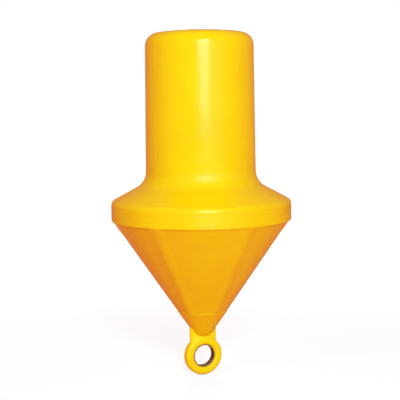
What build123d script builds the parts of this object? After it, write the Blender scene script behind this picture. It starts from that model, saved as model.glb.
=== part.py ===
"""Can-shaped navigation buoy, 800 mm across its float, with a moulded mooring lug.

The hull is one rotomoulded, foam-filled polyethylene moulding: a tall can-shaped
daymark, a conical shoulder, a cylindrical rubbing band and a ribbed conical keel
that ends in a rounded nose. The mooring lug is keyed into a socket in the nose,
a steel bush lines its eye, and a sealed plug closes the foam filling port on top.

Frame: millimetres, +Z up, origin on the axis at the band's lower edge, which is
the design waterline. The eye of the lug opens along Y.
"""

from build123d import *
from math import cos, pi, radians, sin, tan
import os

os.makedirs("parts", exist_ok=True)

# ---------------------------------------------------------------- sizes (mm, degrees)

# Float: rubbing band, and the shoulder above it
float_radius = 400.0
band_height = 84.0
band_top_round = 24.0
band_edge_bevel = 3.0
shoulder_slope = 28.3

# Daymark: the can above the shoulder, drafted so that it leaves its mould
mark_base_radius = 244.5
mark_draft = 0.55
mark_height = 665.0
shoulder_fillet = 82.0
crown_round = 55.0
crown_rise = 18.0

# Keel: a cone from the band down to a rounded nose
keel_half_angle = 34.75
nose_radius = 59.0

# Ribs down the keel, with sunk panels between them that end in an arched ledge
rib_count = 6
rib_turn = 6.8
rib_top_flank = 12.0
rib_foot_flank = 20.5
rib_peak = 2.0
rib_crest_drop = 0.4
panel_depth = 5.5
ledge_rise = 119.0
ledge_arch = 16.0

# Mooring lug: a thick ring on a flat neck, whose stem goes up into the nose
ring_radius = 88.0
ring_thickness = 46.0
ring_bevel = 8.6
neck_width = 127.0
neck_thickness = 24.0
neck_round = 11.0
eye_drop = 88.2
eye_mouth = 7.0
stem_engagement = 70.0
socket_clearance = 0.3

# Steel bush that lines the eye
bush_bore_radius = 47.5
bush_wall = 4.0
bush_clearance = 0.2

# Foam filling port in the crown, its plug and seal
port_radius = 24.0
port_depth = 42.0
plug_head_radius = 36.0
plug_head_height = 9.0
plug_shank_length = 34.0
plug_clearance = 0.5
plug_key_flats = 22.0
plug_key_depth = 6.0
seal_thickness = 3.0
seal_width = 9.0

# ---------------------------------------------------------------- derived places

half_angle = radians(keel_half_angle)
keel_slope = tan(half_angle)
keel_apex_z = -float_radius / keel_slope
mark_foot_z = band_height + (float_radius - mark_base_radius) * tan(radians(shoulder_slope))
mark_edge_z = mark_foot_z + mark_height - crown_rise
mark_edge_radius = mark_base_radius - (mark_edge_z - mark_foot_z) * tan(radians(mark_draft))
crown_z = mark_foot_z + mark_height

# The nose is a sphere that the keel cone runs into.
nose_centre_z = keel_apex_z + nose_radius / sin(half_angle)
nose_tangent = (nose_radius * cos(half_angle), nose_centre_z - nose_radius * sin(half_angle))
nose_bottom_z = nose_centre_z - nose_radius

ledge_z = nose_bottom_z + ledge_rise
eye_centre = Vector(0, 0, nose_bottom_z - eye_drop)
stem_top_z = nose_bottom_z + stem_engagement
lug_bore_radius = bush_bore_radius + bush_wall + bush_clearance
bush_length = ring_thickness - 2 * eye_mouth
plug_seat_z = crown_z - plug_head_height - seal_thickness

first_rib = rib_turn - 90
first_panel = first_rib + 180 / rib_count


def keel_radius(z):
    """Radius of the keel cone, and so of the ribs' crests, at a height below the band."""
    return float_radius + z * keel_slope


def corner_at(section, point):
    """The corner of a section that lies at a point of its own plane."""
    return section.vertices().sort_by_distance(point)[0]


# ---------------------------------------------------------------- panels between the ribs

# The recess is a thin conical ring under the band. Each rib is kept out of it by a blunt
# ridge along the keel's slope, and each panel ends where an arched block is kept out.
cut_margin = 6.0
ring_foot_z = ledge_z - ledge_arch - 2 * cut_margin
panel_inset = panel_depth / cos(half_angle)
margin_outset = cut_margin / cos(half_angle)

# The ridge narrows on its way down. Its sharp peak would stand proud of the keel, and is
# rounded until the crest lies just under it.
down_keel = Vector(-sin(half_angle), 0, -cos(half_angle))
rib_plane = Plane(origin=(float_radius, 0, 0), x_dir=(0, 1, 0), z_dir=down_keel)
rib_run = -ring_foot_z / cos(half_angle) + 2 * cut_margin
ridge_floor = -panel_depth - cut_margin

with BuildPart() as rib_ridge:
    for place, flank_angle in ((-2 * cut_margin, rib_top_flank), (rib_run, rib_foot_flank)):
        flank = radians(flank_angle)
        ridge_half = (rib_peak - ridge_floor) / tan(flank)
        with BuildSketch(rib_plane.offset(place)) as ridge_section:
            with BuildLine():
                Polyline((-ridge_half, ridge_floor), (0, rib_peak), (ridge_half, ridge_floor), close=True)
            make_face()
            crest = corner_at(ridge_section, (0, rib_peak))
            fillet(crest, (rib_peak + rib_crest_drop) / (1 / cos(flank) - 1))
    loft()

# The arched block stands square on the keel's slope, and is as wide as a panel from crest to crest.
ledge_half = keel_radius(ledge_z) * sin(pi / rib_count)
ledge_plane = Plane(
    origin=(keel_radius(ledge_z), 0, ledge_z),
    x_dir=(0, 1, 0),
    z_dir=(cos(half_angle), 0, -sin(half_angle)),
)

with BuildPart() as ledge_block:
    with BuildSketch(ledge_plane):
        with BuildLine():
            ThreePointArc((-ledge_half, -ledge_arch), (0, 0), (ledge_half, -ledge_arch))
            Polyline(
                (ledge_half, -ledge_arch),
                (ledge_half, -2 * ledge_half),
                (-ledge_half, -2 * ledge_half),
                (-ledge_half, -ledge_arch),
            )
        make_face()
    extrude(amount=ledge_half, both=True)

with BuildPart() as panel_recess:
    with BuildSketch(Plane.XZ):
        with BuildLine():
            Polyline(
                (float_radius - panel_inset, 0),
                (float_radius + margin_outset, 0),
                (keel_radius(ring_foot_z) + margin_outset, ring_foot_z),
                (keel_radius(ring_foot_z) - panel_inset, ring_foot_z),
                close=True,
            )
        make_face()
    revolve(axis=Axis.Z)
    with PolarLocations(0, rib_count, start_angle=first_rib):
        add(rib_ridge.part, mode=Mode.SUBTRACT)
    with PolarLocations(0, rib_count, start_angle=first_panel):
        add(ledge_block.part, mode=Mode.SUBTRACT)

# ---------------------------------------------------------------- hull

with BuildPart() as hull_shell:
    with BuildSketch(Plane.XZ) as hull_section:
        with BuildLine():
            TangentArc((0, crown_z), (mark_edge_radius, mark_edge_z), tangent=(1, 0))
            Polyline(
                (mark_edge_radius, mark_edge_z),
                (mark_base_radius, mark_foot_z),
                (float_radius, band_height),
                (float_radius, 0),
                nose_tangent,
            )
            CenterArc((0, nose_centre_z), nose_radius, -90, 90 - keel_half_angle)
            Line((0, nose_bottom_z), (0, crown_z))
        make_face()
        for corner, radius in (
            ((mark_edge_radius, mark_edge_z), crown_round),
            ((mark_base_radius, mark_foot_z), shoulder_fillet),
            ((float_radius, band_height), band_top_round),
        ):
            fillet(corner_at(hull_section, corner), radius)
        chamfer(corner_at(hull_section, (float_radius, 0)), band_edge_bevel)
    revolve(axis=Axis.Z)
    add(panel_recess.part, mode=Mode.SUBTRACT)

    # Socket for the lug's stem, open at the nose
    with BuildSketch(Plane.XY.offset(stem_top_z + socket_clearance)):
        RectangleRounded(
            neck_width + 2 * socket_clearance,
            neck_thickness + 2 * socket_clearance,
            neck_round + socket_clearance,
        )
    extrude(amount=-2 * stem_engagement, mode=Mode.SUBTRACT)

    # Filling port: a seat for plug and seal, and the bore that takes the shank
    with BuildSketch(Plane.XY.offset(plug_seat_z)):
        Circle(plug_head_radius + plug_clearance)
    extrude(amount=2 * plug_head_height + seal_thickness, mode=Mode.SUBTRACT)
    with BuildSketch(Plane.XY.offset(plug_seat_z)):
        Circle(port_radius)
    extrude(amount=-port_depth, mode=Mode.SUBTRACT)

# ---------------------------------------------------------------- mooring lug

eye_plane = Plane.XY.offset(eye_centre.Z)
eye_axis = Axis(eye_centre, (0, 1, 0))

with BuildPart() as mooring_lug:
    # Neck and stem, up into the socket, cleared for the ring
    with BuildSketch(eye_plane):
        RectangleRounded(neck_width, neck_thickness, neck_round)
    extrude(amount=stem_top_z - eye_centre.Z)
    with BuildSketch(Plane.XZ):
        with Locations((0, eye_centre.Z)):
            Circle(ring_radius - ring_bevel)
    extrude(amount=ring_thickness, both=True, mode=Mode.SUBTRACT)

    # Ring, bevelled outside and with a countersunk mouth on each side of the bush
    with BuildSketch(eye_plane) as ring_section:
        with Locations(((ring_radius + lug_bore_radius) / 2, 0)):
            Rectangle(ring_radius - lug_bore_radius, ring_thickness)
        columns = ring_section.vertices().group_by(Axis.X)
        mouth_corners, outer_corners = columns[0], columns[-1]
        chamfer(outer_corners, ring_bevel)
        chamfer(mouth_corners, eye_mouth)
    revolve(axis=eye_axis)

# ---------------------------------------------------------------- eye bush

with BuildPart() as eye_bush:
    with BuildSketch(eye_plane):
        with Locations((bush_bore_radius + bush_wall / 2, 0)):
            Rectangle(bush_wall, bush_length)
    revolve(axis=eye_axis)

# ---------------------------------------------------------------- plug and seal in the crown

with BuildPart() as plug_seal:
    with BuildSketch(Plane.XY.offset(plug_seat_z)):
        Circle(plug_head_radius)
        Circle(plug_head_radius - seal_width, mode=Mode.SUBTRACT)
    extrude(amount=seal_thickness)

with BuildPart() as filler_plug:
    head_plane = Plane.XY.offset(plug_seat_z + seal_thickness)
    with BuildSketch(head_plane):
        Circle(plug_head_radius)
    extrude(amount=plug_head_height)
    with BuildSketch(head_plane):
        Circle(port_radius - plug_clearance)
    extrude(amount=-plug_shank_length)
    with BuildSketch(head_plane.offset(plug_head_height)):
        RegularPolygon(plug_key_flats / 2, 6, major_radius=False)
    extrude(amount=-plug_key_depth, mode=Mode.SUBTRACT)

# ---------------------------------------------------------------- write the pieces

for name, piece in (
    ("hull_shell", hull_shell),
    ("mooring_lug", mooring_lug),
    ("eye_bush", eye_bush),
    ("plug_seal", plug_seal),
    ("filler_plug", filler_plug),
):
    piece.part.label = name
    export_step(piece.part, f"parts/{name}.step")
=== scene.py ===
# %% [markdown]
# # Dressing a can-shaped navigation buoy
#
# The buoy is a rotomoulded float: one hollow moulding of glossy yellow polyethylene
# filled with foam, with a mooring lug below it and a filling plug on its crown. The
# solid model already has its shape and its real size. In these cells the model is
# loaded as a fixed frame, then it gets its camera, its studio and the finish of each
# piece. Nothing that the solid model holds is moved or resized.
#
# The box round each piece is printed, and the remade lug's size is printed beside the solid
# lug's box. The box round the whole model is kept, because the dressed buoy has to stay
# inside it.

import bmesh
import bpy
from math import cos, pi, radians, sin
from mathutils import Matrix, Vector


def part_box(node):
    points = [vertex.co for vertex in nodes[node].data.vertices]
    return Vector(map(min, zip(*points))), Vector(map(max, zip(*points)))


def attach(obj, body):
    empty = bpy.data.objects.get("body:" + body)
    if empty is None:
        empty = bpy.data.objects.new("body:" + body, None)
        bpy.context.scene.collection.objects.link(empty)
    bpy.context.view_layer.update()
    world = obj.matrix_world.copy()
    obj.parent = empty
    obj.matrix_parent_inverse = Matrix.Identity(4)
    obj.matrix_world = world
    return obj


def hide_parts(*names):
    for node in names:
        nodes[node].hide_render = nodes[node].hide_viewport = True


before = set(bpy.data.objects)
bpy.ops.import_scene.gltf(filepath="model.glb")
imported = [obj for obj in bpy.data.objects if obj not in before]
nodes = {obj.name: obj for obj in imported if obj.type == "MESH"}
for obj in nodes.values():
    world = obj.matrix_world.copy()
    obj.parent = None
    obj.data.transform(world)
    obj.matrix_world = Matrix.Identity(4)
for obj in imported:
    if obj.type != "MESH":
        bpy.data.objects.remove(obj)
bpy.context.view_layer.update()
for name in sorted(nodes):
    low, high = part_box(name)
    sides = [round(1000 * side) for side in high - low]
    print(f"{name}: {sides} mm, lowest point {1000 * low.z:.0f} mm")

# %% [markdown]
# ## Camera
#
# Something this tall is best seen from a few metres away through a long lens, so that
# the can's sides stay nearly parallel. The camera stands above the float band and looks
# slightly down, so the band shows as a curve. It is turned round the buoy until the
# mooring eye is seen a little from one side, which shows that the eye is a hole through
# a thick ring. The last fraction of a degree of roll is how a tripod really stands.
#
# A camera can be aimed with a Track To constraint. Here its three axes are worked out
# from its angles instead, and written as one matrix, so that nothing is left to solve.

# %% Place the camera
camera_azimuth = radians(-24)
camera_distance = 4.325
camera_height = 0.501
camera_pitch = radians(5.5)
camera_roll = radians(0.7)
camera_yaw = radians(0.068)
film_width_mm = 36
lens_mm = 87.66

toward = Vector((-sin(camera_azimuth + camera_yaw), cos(camera_azimuth + camera_yaw), 0))
forward = toward * cos(camera_pitch) - Vector((0, 0, sin(camera_pitch)))
level = forward.cross(Vector((0, 0, 1))).normalized()
upright = level.cross(forward)
across = level * cos(camera_roll) - upright * sin(camera_roll)
above = level * sin(camera_roll) + upright * cos(camera_roll)

camera = bpy.data.objects.new("camera", bpy.data.cameras.new("camera"))
bpy.context.scene.collection.objects.link(camera)
camera.matrix_world = Matrix((across, above, -forward)).transposed().to_4x4()
camera.location = Vector((sin(camera_azimuth), -cos(camera_azimuth), 0)) * camera_distance
camera.location.z = camera_height
camera.data.sensor_width = film_width_mm
camera.data.lens = lens_mm
bpy.context.scene.camera = camera
print("camera at", [round(value, 3) for value in camera.location])

# %% [markdown]
# ## Studio light
#
# Yellow plastic shows its roundness by the way it turns to ochre and orange where it
# faces away from the lamps. Soft lamps on either side of the camera and a low one behind
# the buoy do that, and they cast light without being mirrored in the gloss.
#
# What tells the eye that the plastic is glossy is one pale upright streak on the can.
# It is the mirror image of a tall lamp near the camera, and a smaller lamp above it makes
# the bright spots on the crown and in the fillet. A lamp that is bright enough to light
# the buoy would glare where its light grazes the far edges. So each of the two is a pair:
# one lamp that may be mirrored, and a glow beside it that only lights.
#
# The lamps are slightly cool and the rest of the room is warm. Where they meet on the
# front the sum is neutral, and in the shade the warm room is left.

# %% Light the studio
lamp_distance = 5.0
lamp_colour = (0.51, 1.0, 1.0)
room_colour = (0.63, 0.18, 0.08, 1)


def studio_lamp(name, azimuth, elevation, width, height, power, mirrored):
    """A rectangular lamp, aimed at the buoy's middle, that gloss may or may not mirror."""
    turn = camera_azimuth + radians(azimuth)
    rise = radians(elevation)
    place = Vector((sin(turn) * cos(rise), -cos(turn) * cos(rise), sin(rise))) * lamp_distance
    lamp = bpy.data.objects.new(name, bpy.data.lights.new(name, "AREA"))
    bpy.context.scene.collection.objects.link(lamp)
    lamp.data.shape = "RECTANGLE"
    lamp.data.size = width
    lamp.data.size_y = height
    lamp.data.energy = power
    lamp.data.color = lamp_colour
    lamp.location = place
    lamp.rotation_euler = (-place).to_track_quat("-Z", "Y").to_euler()
    lamp.visible_glossy = mirrored
    print(f"{name}: {power} W from {azimuth} degrees, {elevation} degrees up")


# Degrees round from the camera, degrees up, width and height in metres, watts
for name, azimuth, elevation, width, height, power, mirrored in (
    ("left_softbox", -45, 33, 1.0, 0.8, 36, False),
    ("right_softbox", 32, 12, 2.4, 2.4, 36, False),
    ("streak_glow", 5, 19, 0.75, 2.2, 47, False),
    ("streak_lamp", 9, 19, 1.4, 2.2, 52, True),
    ("bright_glow", 4, 28, 0.6, 0.4, 36, False),
    ("bright_lamp", 9, 30, 1.0, 0.6, 28, True),
    ("back_softbox", 180, 6, 2.0, 2.0, 190, False),
):
    studio_lamp(name, azimuth, elevation, width, height, power, mirrored)

world = bpy.data.worlds.new("studio")
bpy.context.scene.world = world
world.use_nodes = True
world_tree = world.node_tree
room_light = world_tree.nodes["Background"]
room_light.inputs["Color"].default_value = room_colour
room_light.inputs["Strength"].default_value = 1.0

# %% [markdown]
# The backdrop is white paper. It is white where the camera sees it, and faintly so where
# metal or gloss mirrors it, while the light that the room sends onto the buoy keeps its
# own level, so a whiter backdrop doesn't wash out the yellow. Light Path tells one kind
# of ray from another, and a Mix Shader takes the white paper for the rays that see it.

# %% Make the backdrop white
mirrored_share = 0.06
white_paper = world_tree.nodes.new("ShaderNodeBackground")
white_paper.inputs["Color"].default_value = (1, 1, 1, 1)
white_paper.inputs["Strength"].default_value = 1
ray = world_tree.nodes.new("ShaderNodeLightPath")
straight_or_mirrored = world_tree.nodes.new("ShaderNodeMath")
straight_or_mirrored.operation = "MULTIPLY_ADD"
straight_or_mirrored.inputs[1].default_value = mirrored_share
sees_paper = world_tree.nodes.new("ShaderNodeMath")
sees_paper.operation = "ADD"
sees_paper.use_clamp = True
backdrop_choice = world_tree.nodes.new("ShaderNodeMixShader")
for source, target in (
    (ray.outputs["Is Glossy Ray"], straight_or_mirrored.inputs[0]),
    (ray.outputs["Is Camera Ray"], straight_or_mirrored.inputs[2]),
    (straight_or_mirrored.outputs["Value"], sees_paper.inputs[0]),
    (ray.outputs["Is Transmission Ray"], sees_paper.inputs[1]),
    (sees_paper.outputs["Value"], backdrop_choice.inputs["Fac"]),
    (room_light.outputs["Background"], backdrop_choice.inputs[1]),
    (white_paper.outputs["Background"], backdrop_choice.inputs[2]),
    (backdrop_choice.outputs["Shader"], world_tree.nodes["World Output"].inputs["Surface"]),
):
    world_tree.links.new(source, target)
bpy.context.scene.view_settings.view_transform = "Standard"
print(f"white backdrop, mirrored at {100 * mirrored_share:.0f} per cent")

# %% [markdown]
# ## Shader arithmetic
#
# A finish is a small calculation that is made at every point of the surface: how much
# grain, how much wear, how rough. It could be wired by hand in the Shader Editor, but
# it is easier to read as Python, so a small class wraps a node's output and turns +, -
# and * into Math nodes.

# %% Wrap sockets for calculation
class Field:
    """A number that varies over a surface, made by a node's output socket."""

    def __init__(self, finish, socket):
        self.finish = finish
        self.socket = socket

    def maths(self, operation, *terms):
        return self.finish.node("Math", {"operation": operation}, dict(enumerate(terms)))

    def __add__(self, other):
        return self.maths("ADD", self, other)

    def __sub__(self, other):
        return self.maths("SUBTRACT", self, other)

    def __rsub__(self, other):
        return self.maths("SUBTRACT", other, self)

    def __mul__(self, other):
        return self.maths("MULTIPLY", self, other)

    __radd__ = __add__
    __rmul__ = __mul__

# %% [markdown]
# A second class holds one material. It adds any other node from its type, its settings
# and its inputs, and has a short name for each of the few calculations that all the
# finishes of the buoy are made of.

# %% Describe a finish
class Finish:
    """A material whose colour, roughness and relief are worked out by nodes."""

    def __init__(self, name):
        self.material = bpy.data.materials.new(name)
        self.material.use_nodes = True
        self.tree = self.material.node_tree
        self.surface = self.tree.nodes["Principled BSDF"]
        self.place = self.node("TexCoord", {}, {}, "Object")

    def node(self, kind, settings, inputs, output=0):
        """Adds a shader node: its settings first, then the value or the link of each input."""
        made = self.tree.nodes.new("ShaderNode" + kind)
        for setting, value in settings.items():
            setattr(made, setting, value)
        for name, value in inputs.items():
            self.feed(made.inputs[name], value)
        return Field(self, made.outputs[output])

    def feed(self, socket, value):
        """Links a field to a socket, or writes a plain value on it."""
        if isinstance(value, Field):
            self.tree.links.new(value.socket, socket)
        else:
            socket.default_value = value

    def set(self, **inputs):
        """Sets the surface's own sockets, named with underscores for spaces."""
        for name, value in inputs.items():
            self.feed(self.surface.inputs[name.replace("_", " ")], value)

    def noise(self, scale, stretch=(1, 1, 1), detail=2.0):
        """A soft random field, from 0 to 1, that can be drawn out along an axis."""
        spread = self.node("Mapping", {}, {"Vector": self.place, "Scale": stretch}, "Vector")
        inputs = {"Vector": spread, "Scale": scale, "Detail": detail}
        return self.node("TexNoise", {}, inputs, "Fac")

    def ramp(self, field, low, high):
        """0 below low, 1 above high, and a smooth rise between them."""
        limits = {"Value": field, "From Min": low, "From Max": high}
        return self.node("MapRange", {"interpolation_type": "SMOOTHSTEP"}, limits, "Result")

    def zone(self, field, foot, full, fading, head):
        """1 in the middle of a zone, from full to fading, and 0 outside foot and head."""
        return self.ramp(field, foot, full) * (1 - self.ramp(field, fading, head))

    def vector(self, operation, first, second):
        """A vector made from two others."""
        terms = {0: first, 1: second}
        return self.node("VectorMath", {"operation": operation}, terms, "Vector")

    def length(self, vector):
        """The length of a vector."""
        return self.node("VectorMath", {"operation": "LENGTH"}, {0: vector}, "Value")

    def blend(self, share, first, second):
        """A colour between two others, by a share from 0 to 1."""
        return self.node("Mix", {"data_type": "RGBA"}, {0: share, 6: first, 7: second}, 2)

    def relief(self, height, depth, over=None):
        """Turns a height field, 0 to 1, into relief that is depth metres deep."""
        inputs = {"Height": height, "Distance": depth}
        if over is not None:
            inputs["Normal"] = over
        return self.node("Bump", {}, inputs, "Normal")

# %% [markdown]
# ## Moulded hull
#
# Rotomoulded polyethylene copies its mould: it is glossy, but never optically flat.
# The skin has a fine orange peel, faint upright drag lines where the can slid out of
# the mould, and turned rings on the band and keel. The colour is nearly even. It is
# made with noise on Object coordinates, which stay with the piece in every view, and
# not with an unwrapped image, because the hull has no seams that one could follow.
#
# Some places differ from the rest: the crown is polished, the fillet under the can is
# a little duller, and the upward faces of the arched ledges above the nose get painted
# shade, a duller orange mixed into their colour. They are found by their height on the
# buoy, in metres from the waterline, with soft ends.

# %% Finish of the hull
signal_yellow = (0.96, 0.692, 0.002, 1)
deep_yellow = (0.95, 0.655, 0.002, 1)
scuffed_yellow = (0.93, 0.70, 0.05, 1)
painted_ledge_shade = (0.80, 0.44, 0.010, 1)
gloss_roughness = 0.18
polyethylene_ior = 1.5


def moulded_yellow(name, clean, clouded):
    """Glossy yellow polyethylene with the skin that its mould leaves, and painted shade on its
    ledges.
    """
    finish = Finish(name)
    height = finish.node("SeparateXYZ", {}, {"Vector": finish.place}, "Z")
    on_can = finish.ramp(height, 0.17, 0.22)
    on_crown = finish.ramp(height, 0.765, 0.785)
    in_fillet = finish.zone(height, 0.155, 0.18, 0.205, 0.24)
    on_ledge = finish.zone(height, -0.44, -0.43, -0.385, -0.375)
    below_shoulder = 1 - finish.ramp(height, 0.070, 0.084)

    cloud = finish.noise(5.0, detail=3.0)
    drag_lines = finish.noise(95.0, stretch=(1, 1, 0.015), detail=3.0)
    turned_rings = finish.noise(10.0, stretch=(0.15, 0.15, 30), detail=3.0)
    peel = finish.noise(420.0, detail=1.0)
    wear = finish.ramp(finish.noise(26.0, stretch=(1, 1, 2.5), detail=6.0), 0.56, 0.75)

    faces = finish.node("TexCoord", {}, {}, "Normal")
    faces_up = finish.ramp(finish.node("SeparateXYZ", {}, {"Vector": faces}, "Z"), -0.3, 0.2)
    colour = finish.blend(finish.ramp(cloud, 0.35, 0.7), clean, clouded)
    colour = finish.blend(wear * 0.10, colour, scuffed_yellow)
    # Painted shade: the upward faces of the ledges above the nose are tinted a duller orange.
    colour = finish.blend(on_ledge * faces_up * 0.8, colour, painted_ledge_shade)

    normal = finish.relief(peel, 0.00006)
    normal = finish.relief(drag_lines * on_can, 0.0010, normal)
    normal = finish.relief(turned_rings * below_shoulder, 0.0014, normal)
    normal = finish.relief(cloud, 0.0035, normal)
    dulled = gloss_roughness + wear * 0.10 + cloud * 0.04 + in_fillet * 0.15
    finish.set(
        Base_Color=colour,
        Roughness=dulled - on_crown * 0.08,
        Normal=normal,
        IOR=polyethylene_ior,
    )
    return finish.material


hull_skin = moulded_yellow("hull_polyethylene", signal_yellow, deep_yellow)
nodes["hull_shell"].data.materials.clear()
nodes["hull_shell"].data.materials.append(hull_skin)
print(f"{hull_skin.name}: {len(hull_skin.node_tree.nodes)} shader nodes")

# %% [markdown]
# ## Mooring lug
#
# The lug takes the pull of the mooring chain, so it is solid, thick and round all over:
# a fat ring on a flat neck, whose stem goes up into the nose. The solid model gives it
# straight bevels. On the real moulding there is no sharp edge anywhere, and the neck
# runs into the ring in one sweep. It could be sculpted by hand, but it is quicker and
# truer to size to spin the ring from a rounded section, to add the neck as a rounded
# bar, and to let a voxel remesh melt the two into one skin.
#
# Its sizes are read from the solid lug and its bush, so that both stay in line. The ring
# stays a hair inside the solid ring, and leaves the bush a small gap.

# %% Measure the solid lug
MM = 0.001
lug_low, lug_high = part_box("mooring_lug")
bush_low, bush_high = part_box("eye_bush")
inside_box = 0.1 * MM
bush_gap = 0.4 * MM
eye_height = (bush_low.z + bush_high.z) / 2
ring_thickness = lug_high.y - lug_low.y
ring_radius = eye_height - lug_low.z - inside_box
bush_radius = (bush_high.z - bush_low.z) / 2
bore_radius = bush_radius + bush_gap
ring_wall = ring_radius - bore_radius
wall_middle = bore_radius + ring_wall / 2
print(f"ring: {2 * ring_radius / MM:.0f} mm across, {ring_thickness / MM:.0f} mm thick")
print(f"eye: {2 * bore_radius / MM:.0f} mm across, {-eye_height / MM:.0f} mm under water")

# %% [markdown]
# First comes the ring. A plane is the section through its wall. The plane's corner
# points are bevelled until they are round, its face is deleted, and the outline that is
# left is spun once round the eye. A torus would be quicker, but its section is a circle,
# and this ring is flatter on its two sides.

# %% Spin the lug's ring
outer_round = 15 * MM
mouth_round = 9 * MM


def select_points(piece, test):
    """Selects the points of a piece in edit mode that pass a test on their place."""
    shape = bmesh.from_edit_mesh(piece.data)
    for point in shape.verts:
        point.select = test(piece.matrix_world @ point.co)
    shape.select_flush_mode()
    bmesh.update_edit_mesh(piece.data)


def close_shape():
    """Merges what a spin or an extrusion left double, and turns every face outwards."""
    bpy.ops.mesh.select_all(action="SELECT")
    bpy.ops.mesh.remove_doubles(threshold=0.01 * MM)
    bpy.ops.mesh.normals_make_consistent(inside=False)


bpy.ops.object.select_all(action="DESELECT")
bpy.ops.mesh.primitive_plane_add(
    size=ring_thickness, enter_editmode=True, location=(wall_middle, 0, eye_height)
)
lug = bpy.context.object
lug.name = "moulded_lug"
bpy.ops.transform.resize(value=(ring_wall / ring_thickness, 1, 1))
select_points(lug, lambda place: place.x > wall_middle)
bpy.ops.mesh.bevel(offset=outer_round, segments=8, affect="VERTICES")
select_points(
    lug, lambda place: place.x < bore_radius + MM and abs(place.y) > ring_thickness / 2 - MM
)
bpy.ops.mesh.bevel(offset=mouth_round, segments=5, affect="VERTICES")
bpy.ops.mesh.select_all(action="SELECT")
bpy.ops.mesh.delete(type="ONLY_FACE")
bpy.ops.mesh.select_all(action="SELECT")
bpy.ops.mesh.spin(steps=120, angle=2 * pi, center=(0, 0, eye_height), axis=(0, 1, 0))
close_shape()
print("ring faces:", len(bmesh.from_edit_mesh(lug.data).faces))

# %% [markdown]
# The neck is a flat bar, added in the same mesh. It starts inside the ring's wall and
# ends at the top of the stem, inside the nose. A shorter and narrower wedge lies in it,
# which is nearly as thick as the ring at its foot and no thicker than the neck at its
# top, so it fills the step between the two. Each of them is a cube that is pulled to its
# proportions in edit mode, and its four long edges are bevelled round.

# %% Add the neck
neck_width = 126.6 * MM
neck_thickness = 24 * MM
neck_foot = eye_height + 58 * MM
wedge_width = 98 * MM
wedge_thickness = 44 * MM
wedge_height = 44 * MM
bar_round = 11 * MM


def add_bar(width, thickness, foot, top, top_share):
    """Adds an upright bar with round edges to the lug, whose top is thinner by a share."""
    height = top - foot
    middle = Vector((0, 0, (foot + top) / 2))
    bpy.ops.mesh.select_all(action="DESELECT")
    bpy.ops.mesh.primitive_cube_add(size=width, location=middle)
    proportions = (1, thickness / width, height / width)
    bpy.ops.transform.resize(value=proportions, center_override=middle)
    shape = bmesh.from_edit_mesh(lug.data)
    bar_points = {point for point in shape.verts if point.select}
    for point in shape.verts:
        point.select = point in bar_points and (lug.matrix_world @ point.co).z > middle.z
    shape.select_flush_mode()
    bmesh.update_edit_mesh(lug.data)
    bpy.ops.transform.resize(value=(1, top_share, 1), center_override=middle)

    bpy.ops.mesh.select_mode(type="EDGE")
    shape = bmesh.from_edit_mesh(lug.data)
    for edge in shape.edges:
        ends = [lug.matrix_world @ point.co for point in edge.verts]
        upright_edge = abs(ends[0].z - ends[1].z) > 0.9 * height
        on_side = all(abs(abs(end.x) - width / 2) < 0.01 * MM for end in ends)
        edge.select_set(upright_edge and on_side)
    bmesh.update_edit_mesh(lug.data)
    bpy.ops.mesh.bevel(offset=bar_round, segments=6, affect="EDGES")
    bpy.ops.mesh.select_mode(type="VERT")
    print(f"bar {width / MM:.0f} x {thickness / MM:.0f} mm, {height / MM:.0f} mm long")


wedge_top = neck_foot + wedge_height
add_bar(neck_width, neck_thickness, neck_foot, lug_high.z, 1)
add_bar(wedge_width, wedge_thickness, neck_foot, wedge_top, neck_thickness / wedge_thickness)
bpy.ops.object.mode_set(mode="OBJECT")

# %% [markdown]
# The ring, the bar and the wedge are closed shapes that overlap. A Boolean could join
# them, but it leaves a sharp line where they meet. Remesh rebuilds their common outside
# as one skin of small squares, and Smooth then wears that skin down a little, which is
# what makes the sweep between neck and ring. Both modifiers are applied, so the finished
# lug is a plain mesh that stands at the origin.

# %% Melt ring and neck into one skin
# Painted light: both lug yellows are the hull's yellows made lighter, so that the lug's front
# reads as more brightly lit.
lug_yellow_painted_lighter = (0.98, 0.82, 0.002, 1)
lug_clouded_painted_lighter = (0.97, 0.78, 0.002, 1)

bpy.ops.object.transform_apply(location=True, rotation=True, scale=True)
remesh = lug.modifiers.new("one_skin", "REMESH")
remesh.mode = "VOXEL"
remesh.voxel_size = 1.6 * MM
bpy.ops.object.modifier_apply(modifier=remesh.name)
smooth = lug.modifiers.new("worn_sweep", "SMOOTH")
smooth.factor = 0.5
smooth.iterations = 20
bpy.ops.object.modifier_apply(modifier=smooth.name)
bpy.ops.object.shade_smooth()
lug.data.materials.clear()
lug.data.materials.append(moulded_yellow("lug_polyethylene", lug_yellow_painted_lighter, lug_clouded_painted_lighter))
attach(lug, "root")
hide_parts("mooring_lug")
made_points = [point.co for point in lug.data.vertices]
for side, axis in enumerate("xyz"):
    low = min(point[side] for point in made_points)
    high = max(point[side] for point in made_points)
    box_low, box_high = lug_low[side], lug_high[side]
    print(f"lug {axis}: {low:.4f} to {high:.4f}, in a box {box_low:.4f} to {box_high:.4f} m")
print("lug faces:", len(lug.data.polygons))

# %% [markdown]
# ## Steel bush
#
# The bush that lines the mooring eye is cut from galvanised tube. Zinc dulls to grey
# and rusts brown where the shackle rubs it, so the metal is rough, with warm brown
# stains in its bore. The distance from the eye's axis tells the bore from the ends, a
# ramp on noise decides where the stain sits, and the stained metal is also less
# metallic.

# %% Finish of the eye bush
bush_wall = 4 * MM
bush_bore = bush_radius - bush_wall
bare_zinc = (0.66, 0.60, 0.52, 1)
rust = (0.11, 0.050, 0.022, 1)

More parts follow.
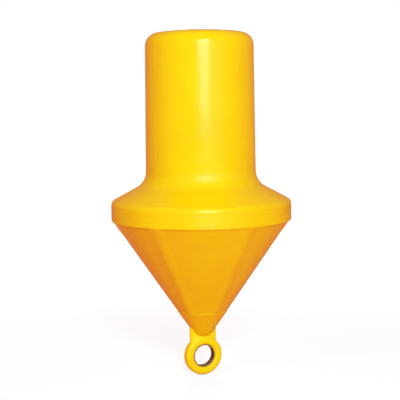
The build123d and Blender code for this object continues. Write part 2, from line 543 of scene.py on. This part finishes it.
bush_finish = Finish("galvanised_steel")
spangle = bush_finish.noise(90.0, detail=4.0)
turning_marks = bush_finish.noise(40.0, stretch=(1, 14, 1), detail=2.0)
from_eye = bush_finish.vector("SUBTRACT", bush_finish.place, (0, 0, eye_height))
across_eye = bush_finish.vector("MULTIPLY", from_eye, (1, 0, 1))
radius = bush_finish.length(across_eye)
in_bore = 1 - bush_finish.ramp(radius, bush_bore, bush_bore + MM)
stain = bush_finish.ramp(bush_finish.noise(45.0, detail=5.0), 0.22, 0.48) * in_bore
bush_finish.set(
    Base_Color=bush_finish.blend(stain, bare_zinc, rust),
    Metallic=1 - stain * 0.8,
    Roughness=0.38 + stain * 0.3,
    Normal=bush_finish.relief(turning_marks + spangle * 0.4, 0.00008),
)
nodes["eye_bush"].data.materials.clear()
nodes["eye_bush"].data.materials.append(bush_finish.material)
print(f"bush: bore {2 * bush_bore / MM:.0f} mm, outside {2 * bush_radius / MM:.0f} mm")

# %% [markdown]
# ## Plug and seal
#
# The filling plug is black nylon with a fine spark-eroded grain, and the ring below it
# is soft rubber. Both are nearly black, so only their sheen and grain tell them apart:
# the rubber is duller and a little dusty.

# %% Finish of the plug and seal
seal_black = (0.012, 0.012, 0.012, 1)
plug_black = (0.020, 0.020, 0.021, 1)
dust_grey = (0.16, 0.15, 0.13, 1)


def dark_moulding(name, tint, dust, roughness, grain_scale, grain_depth):
    """A black moulding with grain, and pale dust in random patches."""
    finish = Finish(name)
    grain = finish.noise(grain_scale, detail=2.0)
    settled = finish.ramp(finish.noise(70.0, detail=5.0), 0.5, 0.8)
    finish.set(
        Base_Color=finish.blend(settled * dust, tint, dust_grey),
        Roughness=roughness + settled * 0.15,
        Normal=finish.relief(grain, grain_depth),
    )
    return finish.material


seal_rubber = dark_moulding("seal_rubber", seal_black, 0.5, 0.75, 900, 0.00006)
plug_nylon = dark_moulding("plug_nylon", plug_black, 0.25, 0.45, 1400, 0.00005)
for node, skin in (("plug_seal", seal_rubber), ("filler_plug", plug_nylon)):
    nodes[node].data.materials.clear()
    nodes[node].data.materials.append(skin)
    print(f"{node}: {skin.name}")

# %% [markdown]
# ## Floor
#
# The buoy is shown out of the water, upright over a white studio floor. The floor is a
# little below the mooring eye and catches the soft shadow. Where the camera sees it, it
# glows a little, and more the farther it lies from the buoy, so it fades into the white
# backdrop as an evenly lit paper sweep does. The buoy itself gets only the warm light
# that such a floor throws up into its shade. Seen from below, the paper is clear.

# %% Lay the floor
floor_radius = 14
floor_drop = 2 * MM
sweep_start = 0.8
sweep_end = 5.5
near_glow = (0.68, 0.73, 0.78, 1)
far_glow = (0.84, 0.96, 0.99, 1)
warm_bounce = (0.80, 0.30, 0.10, 1)
no_glow = (0, 0, 0, 1)

bpy.ops.object.select_all(action="DESELECT")
bpy.ops.mesh.primitive_circle_add(
    vertices=96,
    radius=floor_radius,
    fill_type="NGON",
    location=(0, 0, lug_low.z - floor_drop),
)
floor = bpy.context.object
floor.name = "studio_floor"
paper = Finish("white_paper")
by_camera = paper.node("LightPath", {}, {}, "Is Camera Ray")
in_gloss = paper.node("LightPath", {}, {}, "Is Glossy Ray")
seen = by_camera + in_gloss * mirrored_share
sweep = paper.ramp(paper.length(paper.place), sweep_start, sweep_end)
fibres = paper.blend(paper.noise(300.0), (0.34, 0.34, 0.34, 1), (0.37, 0.37, 0.37, 1))
paper.set(
    Base_Color=paper.blend(seen, warm_bounce, fibres),
    Roughness=0.9,
    Specular_IOR_Level=0.0,
    Emission_Color=paper.blend(seen, no_glow, paper.blend(sweep, near_glow, far_glow)),
    Emission_Strength=1.0,
    Alpha=1 - paper.node("NewGeometry", {}, {}, "Backfacing"),
)
floor.data.materials.append(paper.material)
print(f"floor {floor_drop / MM:.0f} mm below the lug")
